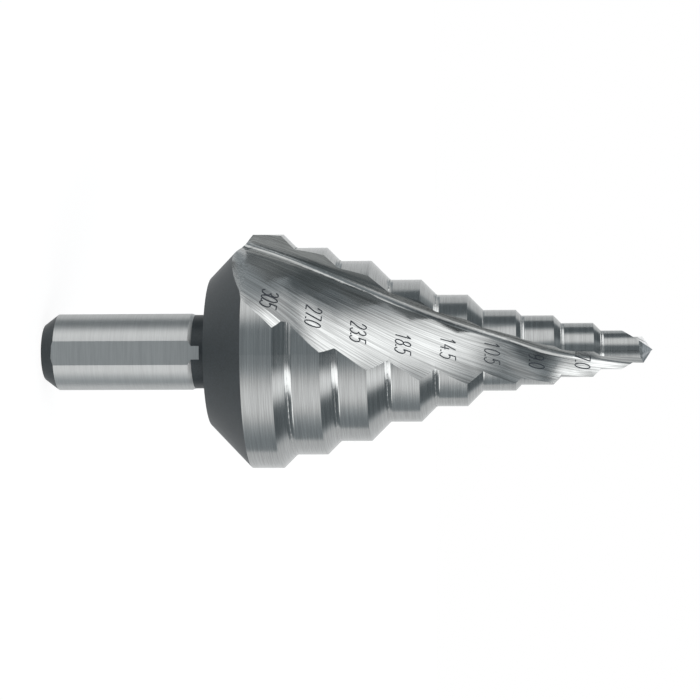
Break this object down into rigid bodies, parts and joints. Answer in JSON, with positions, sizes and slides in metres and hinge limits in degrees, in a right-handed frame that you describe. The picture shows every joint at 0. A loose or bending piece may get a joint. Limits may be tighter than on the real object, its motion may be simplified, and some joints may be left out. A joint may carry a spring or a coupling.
{
  "type": "step drill",
  "caption": "Step drill with two spiral flutes, 45 degree chamfers between its lands, a split point and a three-flat shank.",
  "frame": {"origin": "centre of the shank's end face, on which the drill stands", "axes": "+Z along the drill's axis, from the shank to the point; the shank flat and flute seen in the picture face -Y"},
  "size_m": [0.0304, 0.0304, 0.0793],
  "materials": {
    "ground_steel": "ground high-speed steel, bright on every ground surface and black oxide on the back cone, the neck and the shank's end"
  },
  "bodies": {
    "root": {"step_drill": "ground_steel"}
  },
  "joints": []
}
